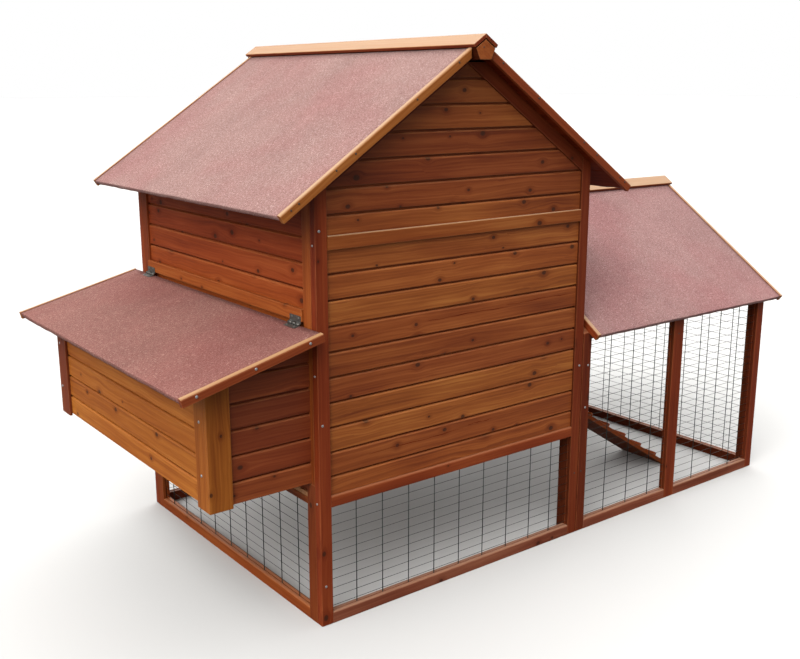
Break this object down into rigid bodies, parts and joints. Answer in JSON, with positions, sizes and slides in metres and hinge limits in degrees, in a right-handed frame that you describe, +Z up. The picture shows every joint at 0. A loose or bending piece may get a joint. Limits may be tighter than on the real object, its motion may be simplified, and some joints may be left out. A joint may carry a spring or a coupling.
{
  "type": "chicken coop",
  "caption": "Raised gabled wooden hen house with a felt roof, a side nest box under a hinged lid, and an attached wire-mesh run with its own gabled roof.",
  "frame": {"origin": "middle of the footprint of the whole coop, on the ground", "axes": "+X from the nest box towards the run, +Y from the solid rear gable wall (the one with no door) towards the front wall with the house door, +Z up"},
  "size_m": [2.2064, 1.09, 1.4181],
  "materials": {
    "red_wood": "red-brown stained softwood, satin",
    "warm_wood": "orange-brown stained softwood, satin",
    "trim_wood": "orange-brown stained softwood trim, pale where it faces up",
    "plain_board": "lightly stained board and plywood, matt",
    "roof_felt": "plywood board faced with dusty red mineral roofing felt, rough",
    "wire_mesh": "dark green-black coated welded wire",
    "hardware": "dull zinc plated steel"
  },
  "bodies": {
    "root": {"floor_deck": "plain_board", "front_frame": "red_wood", "front_lower_mesh": "wire_mesh", "front_siding": "red_wood", "nest_corner_front": "warm_wood", "nest_corner_rear": "warm_wood", "nest_end_front": "warm_wood", "nest_end_rear": "warm_wood", "nest_floor": "plain_board", "nest_hinge_rail": "warm_wood", "nest_outer_panel": "warm_wood", "nest_wall_frame": "warm_wood", "nest_wall_mesh": "wire_mesh", "nest_wall_siding": "warm_wood", "perch_bar": "plain_board", "rear_bottom_rail": "red_wood", "rear_floor_rail": "red_wood", "rear_lower_mesh": "wire_mesh", "rear_post_left": "red_wood", "rear_post_right": "red_wood", "rear_rafters": "red_wood", "rear_siding": "red_wood", "rear_waist_batten": "red_wood", "ridge_beam": "trim_wood", "ridge_cap": "trim_wood", "roof_panel_left": "roof_felt", "roof_panel_right": "roof_felt", "roof_trim_front_left": "trim_wood", "roof_trim_front_right": "trim_wood", "roof_trim_rear_left": "trim_wood", "roof_trim_rear_right": "trim_wood", "run_end_frame": "red_wood", "run_end_mesh": "wire_mesh", "run_front_frame": "red_wood", "run_front_mesh": "wire_mesh", "run_rear_frame": "red_wood", "run_rear_mesh": "wire_mesh", "run_ridge_cap": "trim_wood", "run_roof_front": "roof_felt", "run_roof_rear": "roof_felt", "run_trim_inner": "trim_wood", "run_trim_outer": "trim_wood", "run_wall_frame": "red_wood", "run_wall_siding": "red_wood"},
    "nest_lid_body": {"nest_lid": "roof_felt", "nest_lid_trim_rear": "trim_wood", "nest_lid_trim_front": "trim_wood", "lid_hinge_rear_leaf": "hardware", "lid_hinge_front_leaf": "hardware"},
    "house_door_body": {"house_door": "warm_wood", "house_door_hinge_lower": "hardware", "house_door_hinge_upper": "hardware"},
    "house_button_body": {"house_door_button": "trim_wood"},
    "run_door_body": {"run_door_frame": "red_wood", "run_door_mesh": "wire_mesh", "run_door_hinge_lower": "hardware", "run_door_hinge_upper": "hardware"},
    "run_button_body": {"run_door_button": "trim_wood"},
    "pop_door_body": {"pop_door": "plain_board"},
    "ramp_body": {"ramp": "warm_wood"}
  },
  "joints": [
    {"name": "nest_lid_hinge", "type": "hinge", "parent": "root", "child": "nest_lid_body", "pos_m": [-0.75076, 0, 0.757], "axis": [0, 1, 0], "range_deg": [0, 75]},
    {"name": "house_door_hinge", "type": "hinge", "parent": "root", "child": "house_door_body", "pos_m": [-0.48851, 0.484, 0.65], "axis": [0, 0, 1], "range_deg": [0, 110]},
    {"name": "house_button_turn", "type": "hinge", "parent": "root", "child": "house_button_body", "pos_m": [-0.07376, 0.484, 0.66], "axis": [0, 1, 0], "range_deg": [0, 90]},
    {"name": "run_door_hinge", "type": "hinge", "parent": "root", "child": "run_door_body", "pos_m": [0.62524, 0.488, 0.3], "axis": [0, 0, 1], "range_deg": [0, 110]},
    {"name": "run_button_turn", "type": "hinge", "parent": "root", "child": "run_button_body", "pos_m": [1.03524, 0.49, 0.33], "axis": [0, 1, 0], "range_deg": [0, 90]},
    {"name": "pop_door_slide", "type": "slide", "parent": "root", "child": "pop_door_body", "axis": [0, 0, -1], "range_m": [0, 0.283]},
    {"name": "ramp_hinge", "type": "hinge", "parent": "root", "child": "ramp_body", "pos_m": [0.15724, -0.2, 0.42], "axis": [0, -1, 0], "range_deg": [0, 25]}
  ]
}
